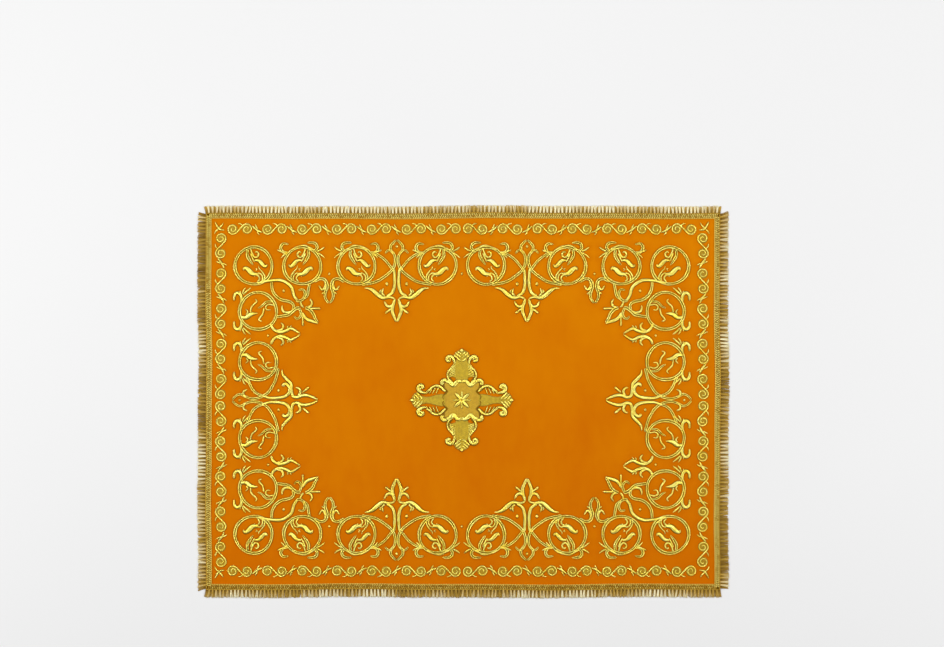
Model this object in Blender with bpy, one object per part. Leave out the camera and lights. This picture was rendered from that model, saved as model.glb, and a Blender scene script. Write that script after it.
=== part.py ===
"""An aer: the large oblong veil of a liturgical set, lying flat.

A velvet panel with a raised scroll embroidery, and four lengths of fringe on a braid heading.
Metres, +Z up. The origin is under the middle of the cloth, on the surface that it lies on.
The tables and the helpers below are in millimetres, measured from the middle of the cloth.
"""

import math
import random

import bmesh
import bpy
import numpy as np
from mathutils import Vector
from mathutils.geometry import delaunay_2d_cdt

MM = 0.001

# Driving dimensions
OUTER_HALF = (340.0, 250.4)  # out to the tips of the fringe
PANEL_HALF = (322.7, 234.0)  # the cloth that shows inside the braid
CLOTH_THICK = 1.6
STITCH_RISE = 0.9  # how far the embroidery stands up from the cloth
BRAID_WIDE = 6.6
BRAID_INNER_THICK = 2.5
FRINGE_THICK = 1.4
FRINGE_TIP_THICK = 0.9
SEAM_GAP = 0.3  # between the cloth and each braid, and between the braids' ends
STRANDS = {"long": 84, "short": 62}
STRAND_FILL = 0.66  # the share of its pitch that a strand takes
STRAND_TIP_WIDE = 0.8  # a strand's width at its tip, as a share of the root
TIP_DRIFT = (0.55, 0.9)  # how far a tip strays sideways and in length
CORNER_FREE = 7.0  # the stretch at each end of a braid with no strands
EDGE_WAVE = 0.55  # how far the edges of the cloth stray from straight
EDGE_POINTS = 14
RING_POINTS = 12
FINE = 8  # steps between two points of a curve while it is measured
JOIN_WITHIN = 0.6  # stitched lines closer than this share their points
SEED = 8

# Colours
ORANGE_VELVET = (0.66, 0.17, 0.005, 1.0)
GOLD_BRAID = (0.52, 0.38, 0.12, 1.0)

# Rings of the scroll: the middle of each in one quarter of the cloth, and which way the leaves inside it face
RING_RADIUS = 23.7
RING_WIDE = 3.6
ROW_RINGS = [
    # x, y, facing
    (31.0, 172.0, -1),
    (134.6, 172.0, 1),
    (204.0, 172.0, -1),
    (266.3, 172.0, 1),
]
SIDE_RINGS = [
    # x, y, facing
    (260.6, 49.5, 1),
    (260.6, 113.9, -1),
]

# Each stitched line has its points, then its width at the start, in the middle and at the end.
# Inside a row ring: along the row, then outwards, from the ring's middle
ROW_FILL = [
    ([(-11, -19), (-10.5, -13), (1.8, -10), (7.2, -4.4), (13, -4.5)], (2.4, 4.4, 1.8)),
    ([(6, 20), (4, 10), (-5, 6.4), (-11.5, 1.6), (-17, 0)], (2.4, 3.6, 1.6)),
]
SIDE_FILL = [
    ([(7.4, 20.5), (7.8, 15), (3.8, 8.6), (2.7, 0)], (2.4, 4.8, 1.2)),
    ([(-11.6, -18.5), (-11.4, -11.4), (-6, -6), (4.4, -5.8), (12, -2)], (2.0, 2.6, 1.4)),
]
# The curled feet that stand on a ring's border side
ROW_FEET = [
    ([(-17, 16.8), (-24.7, 17.6), (-27.4, 23.2), (-24, 28), (-17.6, 27.2)], (2.6, 2.8, 1.6)),
    ([(14, 18.6), (18.6, 22.3), (17.4, 27.2), (12.8, 29.2), (6.4, 28.8)], (2.6, 2.8, 1.6)),
]
SIDE_FEET = [
    ([(11.5, 21), (19.2, 22), (23.2, 25.8), (20.2, 30), (13, 30.4)], (2.2, 4.0, 1.8)),
    ([(-11.5, 21), (-19.2, 22), (-23.2, 25.8), (-20.2, 30), (-13, 30.4)], (2.2, 4.0, 1.8)),
]

# One half of the large leaf of the rows: sideways from its axis, then distance from the middle of the cloth
ROW_FINIAL_AXIS = 83.3
ROW_FINIAL = [
    ([(0.6, 100.4), (3.4, 107.4), (5.4, 114.6), (4.2, 122), (2.2, 129.6)], (2.2, 3.8, 2.4)),
    ([(3.4, 166.5), (2.9, 158), (2.9, 147), (6, 137.4), (13, 132.6)], (3.0, 3.4, 3.0)),
    ([(2.6, 129.4), (13, 131.6), (21, 132.4), (28, 138), (34, 142), (41, 143.4)], (2.6, 4.4, 1.2)),
    ([(2.8, 128.6), (4, 122.6), (8.4, 119.4), (13, 121), (16, 126.4)], (2.0, 3.2, 1.6)),
    ([(7, 117), (14.6, 111)], (2.0, 2.4, 2.6)),
    ([(3.4, 166.5), (9.2, 172.4), (16, 180), (25.5, 186.6), (33.4, 189.2)], (2.8, 2.6, 2.4)),
    ([(41, 148.6), (27.2, 151.4), (15, 158.6), (6, 166.6), (2.2, 175), (2.6, 184.5), (6.4, 190.4), (14.4, 188.6)],
     (3.2, 2.8, 2.0)),
    ([(3.6, 188.2), (7.2, 193.6), (5.4, 200), (0.4, 205)], (1.8, 2.8, 2.0)),
]
SMALL_FINIAL_AXIS = 169.6
SMALL_FINIAL = [
    ([(0.8, 124.4), (4.8, 131), (4.6, 138), (2.5, 146), (6, 154.2), (12.5, 154.8), (19, 151.4)], (2.2, 3.2, 2.8)),
    ([(5.4, 153), (4.8, 146.4), (8.6, 141), (13, 146.4)], (1.8, 2.6, 1.6)),
]

# One half of the large leaf of the sides: distance from the middle of the cloth, then sideways from its axis
SIDE_FINIAL = [
    ([(184.4, 0.6), (190.6, 3.8), (198.6, 6), (205, 5.6), (211, 3.4), (216.6, 6.4), (217.4, 15)], (2.0, 3.6, 2.6)),
    ([(217.4, 15), (219.2, 21.8), (225.4, 28.2), (229.4, 33.4), (229.6, 39.4)], (3.2, 3.6, 1.2)),
    ([(203.4, 10.2), (195.6, 16.6)], (2.0, 2.4, 2.6)),
    ([(209.4, 5), (206.8, 10.4), (208.6, 15), (212.6, 16)], (2.0, 3.0, 1.6)),
    ([(254.1, 5.4), (246, 3), (235.4, 3), (225.6, 5.2), (220.8, 10.6), (221, 16.6), (226, 20.4)], (2.6, 3.4, 3.4)),
    ([(254.1, 5.4), (262.2, 8.8), (268.8, 16), (274.6, 30)], (2.6, 2.8, 2.8)),
    ([(234.6, 40), (238, 26.6), (243, 16.6), (248, 9.6), (254.1, 5.2), (261, 2.6), (270, 2.2), (279, 6.2),
      (286.6, 6.6), (293.4, 0.6)], (2.8, 2.8, 2.2)),
    ([(276, 3.4), (279, 7.6), (278.6, 11.6), (274.6, 13.6)], (1.8, 2.6, 1.6)),
]
SMALL_SIDE_AXIS = 84.4
SMALL_SIDE_FINIAL = [
    ([(243.8, 12.5), (241, 6.6), (233.6, 2.8), (225.6, 4.2), (218.2, 6.6), (212.6, 4.6), (208.6, 0.8)],
     (2.6, 3.4, 2.0)),
    ([(237, 4.4), (230.4, 6.4), (228.6, 11), (231.8, 14.4)], (1.8, 2.6, 1.6)),
]

# The leaf that points from the corner to the middle, in the cloth's own x and y
CORNER_FINIAL = [
    ([(183.8, 98.6), (191, 101.4), (197.8, 103.8), (202, 108.2), (203.4, 113)], (2.0, 3.4, 2.2)),
    ([(183.9, 99.4), (187.6, 104.6), (190.4, 111), (194.8, 116), (200, 118.2)], (2.0, 3.0, 2.8)),
    ([(203.6, 109.4), (203.3, 94.8)], (1.6, 2.0, 2.2)),
    ([(193, 117.4), (181, 117.2)], (2.0, 2.4, 2.6)),
    ([(207.4, 117.6), (205.8, 111), (207.4, 105.8), (211.4, 104.4), (214.4, 107.6)], (2.6, 2.6, 1.6)),
    ([(198, 118.2), (193.4, 120.4), (191.9, 125), (194.2, 129.4)], (2.6, 2.6, 1.6)),
    ([(236.4, 106.6), (221.4, 109.2), (213.6, 116.4), (207, 118)], (3.0, 3.4, 3.4)),
    ([(215.8, 114.8), (215.2, 121.6), (220, 125.8), (230.8, 128.6), (238.4, 134), (242.6, 142), (243.4, 151.4)],
     (2.6, 3.2, 2.8)),
    ([(216.4, 114.4), (222.6, 112.4), (228.6, 114.6), (229.8, 121)], (2.0, 2.8, 1.6)),
    ([(254, 151), (245.5, 152.8), (232.4, 153.4), (223.6, 149.8), (217.6, 144), (214.4, 133.6), (210, 127.2)],
     (2.4, 3.6, 3.0)),
    ([(210, 127.2), (203.6, 129), (200.7, 135.4), (203.4, 141.4), (209, 140.6)], (3.0, 2.8, 1.8)),
    ([(207, 126.6), (205.2, 121.4), (200.6, 118)], (2.2, 2.2, 2.2)),
    ([(203, 128.4), (197.8, 133.6), (196.2, 141), (194.8, 149)], (2.2, 2.6, 2.6)),
]

# The cross in the middle: across the arm, then along it; each line is turned to the four arms
CROSS = [
    ([(11, 46.4), (14.6, 41.4), (18, 36), (18.4, 30.4), (14, 23.4)], (2.2, 2.4, 2.2)),
    ([(11.6, 47.4), (13, 52.8), (17.6, 55.8), (22.2, 52.6), (21.2, 47.8), (17.6, 46.6)], (2.4, 3.4, 2.4)),
    ([(1.2, 50), (6, 54.4), (11, 59.2)], (2.6, 2.6, 2.2)),
    ([(0, 59), (0, 65.2)], (4.4, 4.4, 2.0)),
    ([(0, 24.4), (4.6, 21.6), (8, 16.4), (12.4, 20.2), (17, 23.8), (21.6, 24)], (4.0, 3.8, 3.8)),
    ([(21.6, 24), (26, 24.2), (26.6, 20)], (3.8, 3.6, 3.6)),
    ([(6.6, 26), (6.6, 48)], (2.4, 2.4, 2.0)),
    ([(2.4, 2.4), (8.2, 8.2)], (2.4, 3.0, 1.6)),
]

# The running border: the first scroll's distance from the middle, the scrolls' spacing in a pair,
# the pairs' pitch, how many pairs fill half a side, and the border's distance from the middle
BORDER = {
    "row": {"first": 8.4, "pair": 19.2, "pitch": 44.5, "count": 7, "line": 218.8},
    "side": {"first": 7.6, "pair": 20.4, "pitch": 45.0, "count": 5, "line": 308.3},
}
SCROLL_RADIUS = 5.6
SCROLL_EYE = 3.6
SCROLL_TURN = 0.8
SCROLL_WIDE = 2.6
SCROLL_POINTS = 5


def make_material(name, colour, roughness):
    material = bpy.data.materials.new(name)
    material.use_nodes = True
    shader = material.node_tree.nodes["Principled BSDF"]
    shader.inputs["Base Color"].default_value = colour
    shader.inputs["Roughness"].default_value = roughness
    return material


def make_object(name, bm, material):
    """Turns a bmesh in millimetres into a named object in metres."""
    bmesh.ops.recalc_face_normals(bm, faces=bm.faces)
    bmesh.ops.scale(bm, vec=Vector((MM, MM, MM)), verts=bm.verts)
    mesh = bpy.data.meshes.new(name)
    bm.to_mesh(mesh)
    bm.free()
    mesh.materials.append(material)
    made = bpy.data.objects.new(name, mesh)
    bpy.context.scene.collection.objects.link(made)
    return made


def blend_width(widths, t):
    """The width of a stitched line at t, from 0 at its start to 1 at its end."""
    start, middle, end = widths
    if t < 0.5:
        return start + (middle - start) * math.sin(math.pi * t)
    return end + (middle - end) * math.sin(math.pi * t)


def smooth_line(points, count):
    """So many points, evenly spaced along a smooth curve through the given ones."""
    ends = [2 * Vector(points[0]) - Vector(points[1]), 2 * Vector(points[-1]) - Vector(points[-2])]
    knots = [ends[0]] + [Vector(p) for p in points] + [ends[1]]
    fine = []
    for before, a, b, after in zip(knots, knots[1:], knots[2:], knots[3:]):
        for k in range(FINE):
            t = k / FINE
            bend = (2 * before - 5 * a + 4 * b - after) * t * t + (3 * a - before - 3 * b + after) * t**3
            fine.append(a + 0.5 * ((b - before) * t + bend))
    fine.append(knots[-2])
    path = np.array([tuple(p) for p in fine])
    run = np.concatenate([[0.0], np.cumsum(np.hypot(*np.diff(path, axis=0).T))])
    at = np.linspace(0.0, run[-1], count)
    return np.stack([np.interp(at, run, path[:, 0]), np.interp(at, run, path[:, 1])], axis=1)


def line(points, widths):
    """A stitched line: its path, and its half width at each point of the path."""
    path = smooth_line(points, max(3, len(points)))
    half = [blend_width(widths, t) / 2 for t in np.linspace(0, 1, len(path))]
    return path, np.array(half)


def ring(x, y):
    turns = np.linspace(0, 2 * math.pi, RING_POINTS + 1)
    path = np.stack([x + RING_RADIUS * np.cos(turns), y + RING_RADIUS * np.sin(turns)], axis=1)
    return path, np.full(len(path), RING_WIDE / 2)


def scroll_pair(first, spacing):
    """Two scrolls joined by a slanting stem: distance from the middle, then height over the border's line."""
    lap = np.linspace(SCROLL_TURN, 0, SCROLL_POINTS)
    reach = SCROLL_RADIUS - (SCROLL_RADIUS - SCROLL_EYE) * lap / SCROLL_TURN
    turn = 2 * math.pi * lap
    near = [(first - r * math.sin(a), r * -math.cos(a)) for r, a in zip(reach, turn)]
    far = [(2 * first + spacing - s, -t) for s, t in reversed(near)]
    return near + far


def moved(table, x, y, facing, sideways=False):
    """The lines of a table, put at a place. Sideways swaps the two directions."""
    out = []
    for points, widths in table:
        places = []
        for a, b in points:
            a = a * facing
            places.append((x + b, y + a) if sideways else (x + a, y + b))
        out.append((places, widths))
    return out


def both_halves(table, x, y, sideways=False):
    """A leaf drawn as one half and its mirror image about its axis."""
    out = []
    for points, widths in table:
        for side in (1, -1):
            if sideways:
                out.append(([(d, y + side * u) for d, u in points], widths))
            else:
                out.append(([(x + side * u, d) for u, d in points], widths))
    return out


def quarter_lines():
    """The embroidery of one quarter of the cloth, without the cross in the middle."""
    lines = []
    tables = []
    for x, y, facing in ROW_RINGS:
        lines.append(ring(x, y))
        tables += moved(ROW_FILL, x, y, facing)
        if x != ROW_RINGS[-1][0]:
            tables += moved(ROW_FEET, x, y, facing)
    for x, y, facing in SIDE_RINGS:
        lines.append(ring(x, y))
        tables += moved(SIDE_FILL, x, y, facing, sideways=True)
        tables += moved(SIDE_FEET, x, y, facing, sideways=True)
    tables += both_halves(ROW_FINIAL, ROW_FINIAL_AXIS, 0)
    tables += both_halves(SMALL_FINIAL, SMALL_FINIAL_AXIS, 0)
    tables += both_halves(SMALL_SIDE_FINIAL, 0, SMALL_SIDE_AXIS, sideways=True)
    tables += SIDE_FINIAL
    tables += CORNER_FINIAL
    lines += [line(points, widths) for points, widths in tables]
    lines += border_lines()
    return lines


def border_lines():
    lines = []
    for name, plan in BORDER.items():
        for k in range(plan["count"]):
            pair = scroll_pair(plan["first"] + k * plan["pitch"], plan["pair"])
            if name == "row":
                path = np.array([(s, plan["line"] - t) for s, t in pair])
            else:
                path = np.array([(plan["line"] - t, s) for s, t in pair])
            lines.append((path, np.full(len(path), SCROLL_WIDE / 2)))
    return lines


def cross_lines():
    """The cross: every line on both sides of an arm, and on all four arms."""
    lines = []
    for points, widths in CROSS:
        path, half = line(points, widths)
        on_axis = max(abs(path[:, 0])) < 0.1
        for side in (1,) if on_axis else (1, -1):
            for quarter in range(4):
                turn = quarter * math.pi / 2
                across = path[:, 0] * side
                along = path[:, 1]
                x = across * math.cos(turn) - along * math.sin(turn)
                y = across * math.sin(turn) + along * math.cos(turn)
                lines.append((np.stack([x, y], axis=1), half))
    return lines


def all_lines():
    lines = cross_lines()
    for path, half in quarter_lines():
        for flip_x in (1, -1):
            for flip_y in (1, -1):
                lines.append((path * (flip_x, flip_y), half))
    return lines


def side_frame(side):
    """A side's own directions: its middle's distance, along it, and outwards from the cloth."""
    along, outwards, half, length = {
        "top": ((1, 0), (0, 1), PANEL_HALF[1], PANEL_HALF[0]),
        "right": ((0, -1), (1, 0), PANEL_HALF[0], PANEL_HALF[1]),
        "bottom": ((-1, 0), (0, -1), PANEL_HALF[1], PANEL_HALF[0]),
        "left": ((0, 1), (-1, 0), PANEL_HALF[0], PANEL_HALF[1]),
    }[side]
    return Vector(along), Vector(outwards), half, length


def edge_wave(side, share):
    """How far a side strays outwards at a share of its length, from -1 to 1, and nothing at its ends."""
    phase = {"top": 0.4, "right": 1.7, "bottom": 2.9, "left": 4.1}[side]
    swing = math.sin(5.1 * share + phase) + 0.6 * math.sin(11.7 * share + 2 * phase)
    return EDGE_WAVE * swing * (1 - share**6)


def edge_points(side, outset):
    """Points along a side, clockwise, offset outwards by outset, with mitred ends."""
    along, outwards, half, length = side_frame(side)
    reach = length + outset
    points = []
    for k in range(EDGE_POINTS + 1):
        share = -1 + 2 * k / EDGE_POINTS
        points.append(along * share * reach + outwards * (half + outset + edge_wave(side, share)))
    return points


def ridge_height(places, lines):
    """How far the embroidery lifts the cloth at each place: full over a line's middle, nothing at its edges."""
    rise = np.zeros(len(places))
    for path, half in lines:
        low = path.min(axis=0) - half.max()
        high = path.max(axis=0) + half.max()
        near = np.nonzero(((places > low) & (places < high)).all(axis=1))[0]
        here = places[near]
        for a, b, wide_a, wide_b in zip(path, path[1:], half, half[1:]):
            run = b - a
            t = np.clip(((here - a) @ run) / (run @ run), 0, 1)
            off = np.hypot(*(here - a - t[:, None] * run).T)
            wide = wide_a + (wide_b - wide_a) * t
            rise[near] = np.maximum(rise[near], STITCH_RISE * np.clip(1 - off / wide, 0, 1))
    return rise


def line_chains(path, half):
    """A line's middle and its two edges, each as a chain of points. An open line's edges meet at its ends."""
    heading = np.gradient(path, axis=0)
    closed = np.allclose(path[0], path[-1])
    if closed:
        heading[0] = heading[-1] = path[1] - path[-2]
    heading /= np.hypot(*heading.T)[:, None]
    across = np.stack([-heading[:, 1], heading[:, 0]], axis=1) * half[:, None]
    if not closed:
        across[0] = across[-1] = 0
    return [path, path + across, path - across]


def make_panel(material):
    """The velvet, one closed solid: its top face is laid out from the stitched lines, which rise from it."""
    outline = []
    for side in ("top", "right", "bottom", "left"):
        outline += edge_points(side, 0)[:-1]
    points = [tuple(p) for p in reversed(outline)]
    edges = []
    lines = all_lines()
    for path, half in lines:
        for chain in line_chains(path, half):
            first = len(points)
            points += [tuple(p) for p in chain]
            edges += [(first + k, first + k + 1) for k in range(len(chain) - 1)]
    face = list(range(len(outline)))
    found = delaunay_2d_cdt([Vector(p) for p in points], edges, [face], 1, JOIN_WITHIN)
    places = np.array([tuple(p) for p in found[0]])
    rise = ridge_height(places, lines)
    bm = bmesh.new()
    verts = [bm.verts.new((p[0], p[1], CLOTH_THICK + h)) for p, h in zip(places, rise)]
    for corners in found[2]:
        bm.faces.new([verts[k] for k in corners])
    loose = [v for v in bm.verts if not v.link_faces]
    bmesh.ops.delete(bm, geom=loose, context="VERTS")
    rim = [e for e in bm.edges if e.is_boundary]
    skirt = bmesh.ops.extrude_edge_only(bm, edges=rim)["geom"]
    for part in skirt:
        if isinstance(part, bmesh.types.BMVert):
            part.co.z = 0
    base = [e for e in skirt if isinstance(e, bmesh.types.BMEdge) and e.is_boundary]
    bmesh.ops.edgeloop_fill(bm, edges=base)
    return make_object("panel", bm, material)


def strand_roots(side, count):
    """The outer rim of a braid, as points along it, and which stretches of it a strand grows from."""
    along, outwards, half, length = side_frame(side)
    span = 2 * (length + BRAID_WIDE - CORNER_FREE)
    pitch = span / count
    rim = [-(length + BRAID_WIDE) + SEAM_GAP]
    for k in range(count):
        middle = (k + 0.5) * pitch - span / 2
        rim += [middle - pitch * STRAND_FILL / 2, middle + pitch * STRAND_FILL / 2]
    rim.append(length + BRAID_WIDE - SEAM_GAP)
    places = []
    for s in rim:
        wave = edge_wave(side, s / (length + BRAID_WIDE))
        places.append(along * s + outwards * (half + BRAID_WIDE + SEAM_GAP + wave))
    return places


def make_fringe(side, material, draw):
    """A braid with its strands: an outline raised to a strip, and a strand drawn out of each root."""
    along, outwards, half, length = side_frame(side)
    long_side = length == PANEL_HALF[0]
    count = STRANDS["long" if long_side else "short"]
    trim = OUTER_HALF[1] - PANEL_HALF[1] if long_side else OUTER_HALF[0] - PANEL_HALF[0]
    strand = trim - BRAID_WIDE - SEAM_GAP - EDGE_WAVE - TIP_DRIFT[1]
    inner = edge_points(side, SEAM_GAP)
    inner[0] += along * SEAM_GAP
    inner[-1] -= along * SEAM_GAP
    outer = strand_roots(side, count)
    bm = bmesh.new()
    rim = [bm.verts.new((*p, 0)) for p in outer]
    foot = bm.faces.new([bm.verts.new((*p, 0)) for p in inner] + list(reversed(rim)))
    raised = bmesh.ops.extrude_face_region(bm, geom=[foot], use_keep_orig=True)["geom"]
    for v in (g for g in raised if isinstance(g, bmesh.types.BMVert)):
        beyond_cloth = v.co.xy.dot(outwards) - half
        v.co.z = FRINGE_THICK if beyond_cloth > BRAID_WIDE / 2 else BRAID_INNER_THICK
    roots = []
    for a, b in list(zip(rim, rim[1:]))[1::2]:
        edge = bm.edges.get((a, b))
        roots += [f for f in edge.link_faces if f is not foot]
    drawn = bmesh.ops.extrude_discrete_faces(bm, faces=roots)["faces"]
    for tip in drawn:
        middle = tip.calc_center_median().xy
        drift = along * draw.uniform(-1, 1) * TIP_DRIFT[0]
        pull = outwards * (strand + draw.uniform(-1, 1) * TIP_DRIFT[1])
        for v in tip.verts:
            place = middle + (v.co.xy - middle) * STRAND_TIP_WIDE + drift + pull
            v.co = (*place, FRINGE_TIP_THICK if v.co.z > FRINGE_THICK / 2 else 0)
    bmesh.ops.remove_doubles(bm, verts=bm.verts, dist=1e-4)
    return make_object("fringe_" + side, bm, material)


def main():
    for old in list(bpy.data.objects):
        bpy.data.objects.remove(old)
    velvet = make_material("velvet", ORANGE_VELVET, 0.85)
    braid = make_material("gold_fringe", GOLD_BRAID, 0.5)
    make_panel(velvet)
    draw = random.Random(SEED)
    for side in ("top", "right", "bottom", "left"):
        make_fringe(side, braid, draw)


main()
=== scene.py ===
import math
import random

import bmesh
import bpy
from mathutils import Matrix, Vector, noise


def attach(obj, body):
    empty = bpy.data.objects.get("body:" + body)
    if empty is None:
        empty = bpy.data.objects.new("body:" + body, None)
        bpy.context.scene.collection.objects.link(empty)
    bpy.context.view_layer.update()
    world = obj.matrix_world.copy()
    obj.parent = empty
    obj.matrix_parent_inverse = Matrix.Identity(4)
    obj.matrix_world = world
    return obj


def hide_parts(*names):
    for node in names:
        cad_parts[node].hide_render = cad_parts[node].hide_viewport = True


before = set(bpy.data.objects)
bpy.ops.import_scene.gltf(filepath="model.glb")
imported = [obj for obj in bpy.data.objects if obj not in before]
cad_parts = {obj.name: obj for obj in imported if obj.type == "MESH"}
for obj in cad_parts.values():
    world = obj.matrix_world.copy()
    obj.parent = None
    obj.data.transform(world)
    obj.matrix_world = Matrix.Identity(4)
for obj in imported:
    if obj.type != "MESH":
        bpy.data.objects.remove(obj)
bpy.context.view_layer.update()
scene = bpy.context.scene
mm = 0.001  # tables and settings are in millimetres, from the middle of the cloth


# Shader expressions: a wrapped socket, so that 1 - mask adds the Math node it needs
class Wire:
    def __init__(self, tree, socket):
        self.tree = tree
        self.socket = socket

    def node(self, kind, settings=None, out=0, **inputs):
        made = self.tree.nodes.new(kind)
        for name, value in (settings or {}).items():
            setattr(made, name, value)
        for name, value in inputs.items():
            key = int(name[1:]) if name[0] == "i" and name[1:].isdigit() else name.replace("_", " ")
            if isinstance(value, Wire):
                self.tree.links.new(value.socket, made.inputs[key])
            else:
                made.inputs[key].default_value = value
        return Wire(self.tree, made.outputs[out])

    def maths(self, operation, *values):
        sockets = {f"i{k}": value for k, value in enumerate(values)}
        return self.node("ShaderNodeMath", {"operation": operation}, **sockets)

    def __add__(self, other):
        return self.maths("ADD", self, other)

    def __radd__(self, other):
        return self.maths("ADD", other, self)

    def __sub__(self, other):
        return self.maths("SUBTRACT", self, other)

    def __rsub__(self, other):
        return self.maths("SUBTRACT", other, self)

    def __mul__(self, other):
        return self.maths("MULTIPLY", self, other)

    def __rmul__(self, other):
        return self.maths("MULTIPLY", other, self)

    def clamped(self):
        return self.maths("MINIMUM", self.maths("MAXIMUM", self, 0.0), 1.0)

    def noise(self, scale, detail=2.0, roughness=0.5):
        return self.node("ShaderNodeTexNoise", Vector=self, Scale=scale, Detail=detail, Roughness=roughness)

    def stretch(self, across, along, up=1.0):
        return self.node("ShaderNodeVectorMath", {"operation": "MULTIPLY"}, i0=self, i1=(across, along, up))

    def blendColour(self, first, second):
        return self.node("ShaderNodeMix", {"data_type": "RGBA"}, 2, i0=self, i6=first, i7=second)


# A colour as a screen shows it, 0 to 255, turned into the light that a shader takes
def rgb(red, green, blue):
    shown = [c / 255 for c in (red, green, blue)]
    return tuple(c / 12.92 if c <= 0.04045 else ((c + 0.055) / 1.055) ** 2.4 for c in shown) + (1.0,)


# A material, its object coordinates, and a call that joins wires to the shader
def newFinish(name, **fixed):
    finish = bpy.data.materials.new(name)
    finish.use_nodes = True
    tree = finish.node_tree
    shader = tree.nodes["Principled BSDF"]
    for socket, value in fixed.items():
        shader.inputs[socket.replace("_", " ")].default_value = value
    coordinates = tree.nodes.new("ShaderNodeTexCoord")

    def join(**wires):
        for socket, wire in wires.items():
            tree.links.new(wire.socket, shader.inputs[socket.replace("_", " ")])

    return finish, Wire(tree, coordinates.outputs["Object"]), join


def attribute(place, name):
    return place.node("ShaderNodeAttribute", {"attribute_name": name}, 2)


def bump(place, height, strength, distance):
    return place.node("ShaderNodeBump", Strength=strength, Distance=distance, Height=height)


velvetLook = {
    "pile": rgb(217, 127, 0),
    "shadedPile": rgb(205, 107, 0),
    # painted shade: the darker pile beside the stitches, and how strongly it is laid
    "paintedShadePile": rgb(199, 102, 0),
    "paintedShadeDepth": 0.5,
    "sheen": 0.08,
    "sheenTint": rgb(255, 170, 60),
}


def velvetFinish():
    finish, place, join = newFinish(
        "velvet", Roughness=0.95, Specular_IOR_Level=0.03,
        Sheen_Weight=velvetLook["sheen"], Sheen_Roughness=0.5, Sheen_Tint=velvetLook["sheenTint"],
    )
    clouds = place.noise(9.0, 3.0, 0.55)
    brushed = place.stretch(1.0, 0.45).noise(55.0, 2.0, 0.6)
    upwards = place.node("ShaderNodeSeparateXYZ", None, 1, Vector=place)
    # random blotches where the nap lies differently, and painted shade that darkens the pile towards the
    # bottom of the cloth
    shade = ((clouds - 0.5) * 1.3 + (brushed - 0.5) * 0.5 + (0.5 - upwards * 1.8)).clamped()
    ground = shade.blendColour(velvetLook["pile"], velvetLook["shadedPile"])
    # painted shade: the pile darkens beside the raised stitches, by the nearness that buildVelvet stores
    paintedStitchShade = (attribute(place, "paintedStitchShade") * velvetLook["paintedShadeDepth"]).clamped()
    pile = place.noise(1900.0, 1.0)
    join(Base_Color=paintedStitchShade.blendColour(ground, velvetLook["paintedShadePile"]), Normal=bump(place, pile, 0.35, 0.0006))
    return finish


goldLook = {
    # the paler gold, laid in patches partly as the thread's own uneven tone and partly as painted highlight
    "bright": rgb(255, 250, 136),
    "deep": rgb(246, 204, 26),
    # painted shade: the dark olive that the low foot and the furrow of each line take
    "sunk": rgb(122, 82, 0),
    "threads": 1.7,  # satin threads to a millimetre
    "slant": 0.3,
    "rise": 0.00007,
    "metallic": 0.95,
    "roughness": 0.31,
}


# Satin stitch: threads lie across the line, whose length is kept in an attribute in millimetres
def goldFinish():
    finish, place, join = newFinish("satinGold", Specular_IOR_Level=0.0)
    slant = attribute(place, "along") + attribute(place, "across") * goldLook["slant"]
    phase = slant * (goldLook["threads"] * 2 * math.pi)
    threads = phase.maths("SINE", phase) * 0.5 + 0.5
    # random patches of paler gold and a paler crest on each thread: partly uneven tone, partly painted
    # highlight
    mix = ((place.noise(160.0, 1.0) - 0.5) * 1.2 + 0.45 + threads * 0.2).clamped()
    face = mix.blendColour(goldLook["deep"], goldLook["bright"])
    # painted shade: the lower a point of the section lies, the more of the dark olive it takes, and the
    # duller it reflects
    sunk = ((attribute(place, "depth") - 0.14) * 2.5).clamped()
    join(
        Base_Color=sunk.blendColour(face, goldLook["sunk"]),
        Metallic=goldLook["metallic"] - sunk * 0.75,
        Roughness=sunk * 0.3 + goldLook["roughness"],
        Normal=bump(place, threads, 1.0, goldLook["rise"]),
    )
    return finish


# Tatami filling: short stitches in offset rows
def fillFinish(name, bright, deep, weave):
    finish, place, join = newFinish(name, Metallic=0.45, Specular_IOR_Level=0.5)
    rows = place.node(
        "ShaderNodeTexBrick", {"offset": 0.37}, 1, Vector=place, Scale=weave, Mortar_Size=0.06,
        Mortar_Smooth=0.6, Brick_Width=1.1, Row_Height=0.32,
    )
    drift = place.noise(300.0, 3.0)
    mix = (drift * 0.9 + 0.1 - rows * 0.5).clamped()
    join(
        # painted shade at the rim of a field, by its depth attribute
        Base_Color=attribute(place, "depth").blendColour(mix.blendColour(deep, bright), goldLook["sunk"]),
        Roughness=drift * 0.2 + 0.36,
        Normal=bump(place, drift * 0.5 - rows, 0.6, 0.0002),
    )
    return finish


trimLook = {
    "braid": (rgb(116, 82, 4), rgb(208, 164, 54), rgb(255, 234, 124)),
    "strands": (rgb(108, 72, 8), rgb(204, 166, 70), rgb(255, 246, 206)),
}


# Metallic yarn, whose tone differs from thread to thread; the tone also carries painted light and shade, and
# the glints noise paints small glints into its colour
def trimFinish(name, colours, roughness, metallic):
    finish, place, join = newFinish(name, Metallic=metallic, Specular_IOR_Level=0.15)
    deep, middle, pale = colours
    glints = place.noise(900.0, 2.0)
    tone = (attribute(place, "tone") + (glints - 0.5) * 0.4) * 2.0
    join(
        Base_Color=(tone - 1.0).clamped().blendColour(tone.clamped().blendColour(deep, middle), pale),
        Roughness=glints * 0.2 + (roughness - 0.1),
        Normal=bump(place, glints, 0.4, 0.0002),
    )
    return finish


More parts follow.
